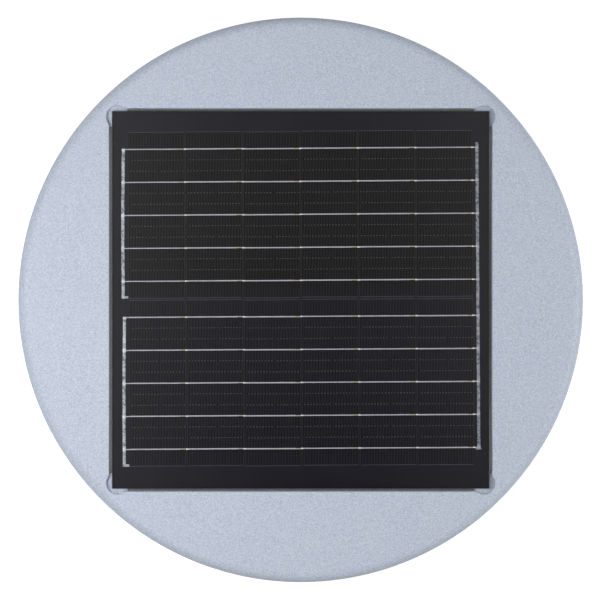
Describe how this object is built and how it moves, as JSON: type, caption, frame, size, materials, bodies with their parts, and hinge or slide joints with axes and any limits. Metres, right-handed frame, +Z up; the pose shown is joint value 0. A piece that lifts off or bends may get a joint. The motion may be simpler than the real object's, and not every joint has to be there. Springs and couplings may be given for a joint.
{
  "type": "solar attic fan",
  "caption": "Round roof-mounted attic fan: a pan-shaped cover with a square photovoltaic panel let into its top, over a flanged throat with a turning fan wheel.",
  "frame": {"origin": "centre of the roof seal's underside, where the fan meets the roof deck", "axes": "+Z up along the fan's axis, away from the roof; +X and +Y parallel to the panel's sides, with the two cell strings running along X"},
  "size_m": [0.5334, 0.5334, 0.1646],
  "materials": {
    "cover_paint": "fine textured powder coat, satin",
    "foam_tape": "closed-cell foam",
    "backsheet": "black laminate film",
    "black_sealant": "butyl",
    "panel_glass": "low-iron tempered glass",
    "grey_sealant": "silicone",
    "cell": "anti-reflection coated silicon",
    "tinned_copper": "solder-tinned copper ribbon",
    "spun_aluminium": "spun, mill finish",
    "epdm": "matt",
    "screen_metal": "black coat",
    "zinc_steel": "zinc plated",
    "fastener_steel": "stainless",
    "motor_casting": "cast, dark anodised",
    "lamination": "stacked electrical steel",
    "winding": "enamelled copper wire",
    "board": "solder mask",
    "component_plastic": "moulded",
    "ground_steel": "ground",
    "magnet": "sintered ferrite",
    "hub_plastic": "glass-filled nylon",
    "blade_plastic": "glass-filled nylon",
    "black_plastic": "moulded, fine texture",
    "terminal_plastic": "moulded",
    "cable_jacket": "PVC jacket",
    "lead_jacket": "silicone insulation"
  },
  "bodies": {
    "housing": {"cover": "cover_paint", "panel_tape": "foam_tape", "panel_backsheet": "backsheet", "panel_edge_seal": "black_sealant", "panel_glass": "panel_glass", "panel_sealant": "grey_sealant", "cells_upper_string": "cell", "cells_lower_string": "cell", "cell_ribbons": "tinned_copper", "bus_strips": "tinned_copper", "roof_flange": "spun_aluminium", "roof_seal": "epdm", "vermin_screen": "screen_metal", "cover_brackets": "zinc_steel", "throat_collar": "spun_aluminium", "inlet_ring": "spun_aluminium", "throat_rivets": "fastener_steel", "cover_studs": "fastener_steel", "bracket_nuts": "fastener_steel", "motor_bracket": "zinc_steel", "isolators": "epdm", "rim_screws": "fastener_steel", "motor_base": "motor_casting", "motor_cap": "motor_casting", "motor_screws": "fastener_steel", "motor_boots": "epdm", "stator_core": "lamination", "stator_coils": "winding", "control_board": "board", "board_components": "component_plastic", "bearing_outer_rings": "ground_steel", "junction_box": "black_plastic", "junction_box_lid": "black_plastic", "junction_box_screws": "fastener_steel", "terminal_blocks": "terminal_plastic", "bypass_diode": "component_plastic", "cable_gland": "black_plastic", "panel_cable": "cable_jacket", "motor_cable": "cable_jacket", "switch_leads": "lead_jacket", "panel_plug": "black_plastic", "motor_socket": "black_plastic", "connector_saddle": "zinc_steel", "thermal_switch": "zinc_steel", "thermal_switch_tabs": "tinned_copper", "thermal_switch_rivets": "fastener_steel"},
    "rotor": {"motor_shaft": "ground_steel", "rotor_core": "lamination", "rotor_magnets": "magnet", "bearing_inner_rings": "ground_steel", "hub_lower_half": "hub_plastic", "hub_upper_half": "hub_plastic", "hub_screws": "fastener_steel", "hub_nut": "fastener_steel", "fan_blade_1": "blade_plastic", "fan_blade_2": "blade_plastic", "fan_blade_3": "blade_plastic", "fan_blade_4": "blade_plastic", "fan_blade_5": "blade_plastic"},
    "ball_sets": {"bearing_balls": "ground_steel"}
  },
  "joints": [
    {"name": "fan_spin", "type": "hinge", "parent": "housing", "child": "rotor", "pos_m": [0, 0, 0.07], "axis": [0, 0, 1], "continuous": true},
    {"name": "ball_orbit", "type": "hinge", "parent": "housing", "child": "ball_sets", "pos_m": [0, 0, 0.1017], "axis": [0, 0, 1], "continuous": true}
  ],
  "couplings": [
    {"joint": "ball_orbit", "follows": "fan_spin", "ratio": 0.37}
  ]
}
